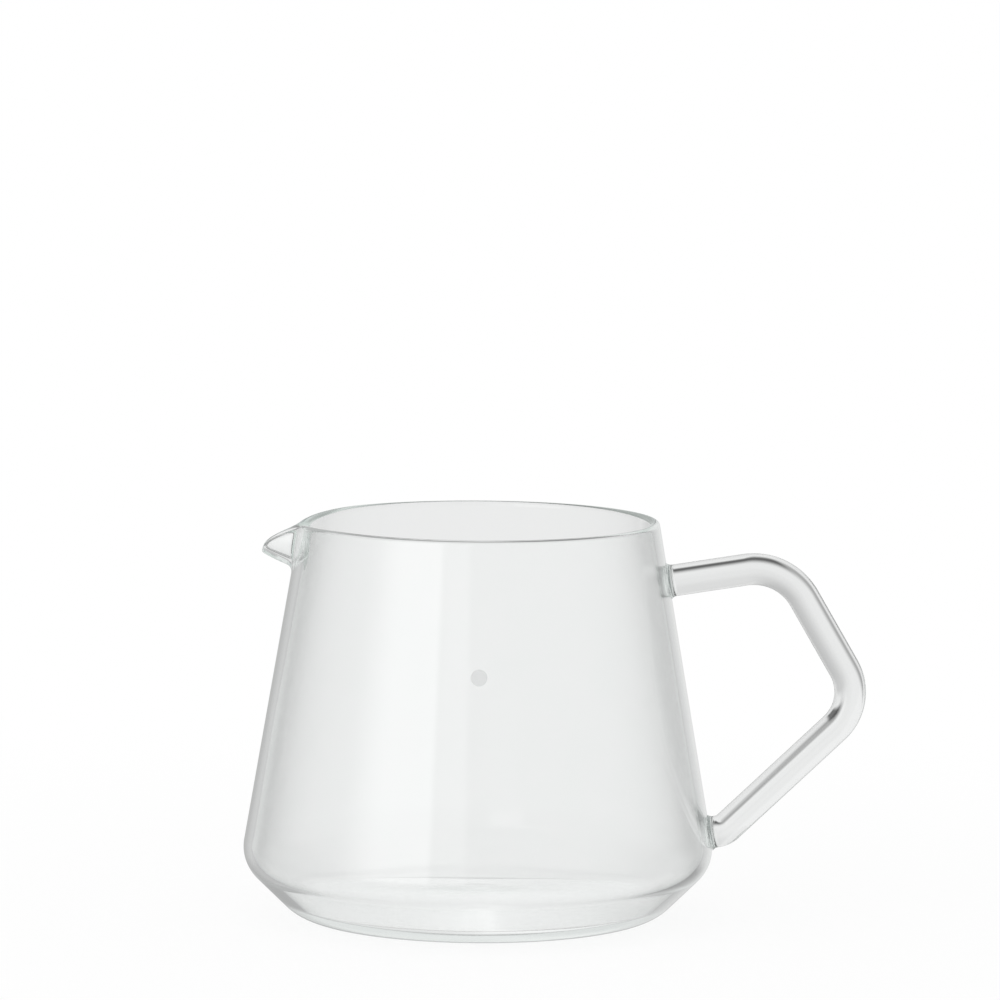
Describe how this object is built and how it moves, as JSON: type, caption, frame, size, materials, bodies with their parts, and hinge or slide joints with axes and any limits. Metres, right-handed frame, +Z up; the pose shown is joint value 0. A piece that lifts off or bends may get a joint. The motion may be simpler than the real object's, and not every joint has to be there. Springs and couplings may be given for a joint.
{
  "type": "coffee server",
  "caption": "Clear glass coffee server with a tapered body, a pulled pouring spout, an open round mouth and a bent glass rod handle, for catching and pouring filter coffee.",
  "frame": {"origin": "on the body's axis, at the table that the foot rests on", "axes": "+Z up along the body's axis, +X towards the handle, -X towards the spout, -Y towards the side with the level dot"},
  "size_m": [0.1265, 0.0956, 0.0811],
  "materials": {
    "body_glass": "clear blown glass, fire polished",
    "rod_glass": "clear drawn glass rod, fire polished",
    "weld_glass": "clear glass, flame worked",
    "dot_enamel": "fired grey enamel"
  },
  "bodies": {
    "root": {"glass_body": "body_glass", "handle_rod": "rod_glass", "upper_weld": "weld_glass", "lower_weld": "weld_glass", "level_dot": "dot_enamel"}
  },
  "joints": []
}
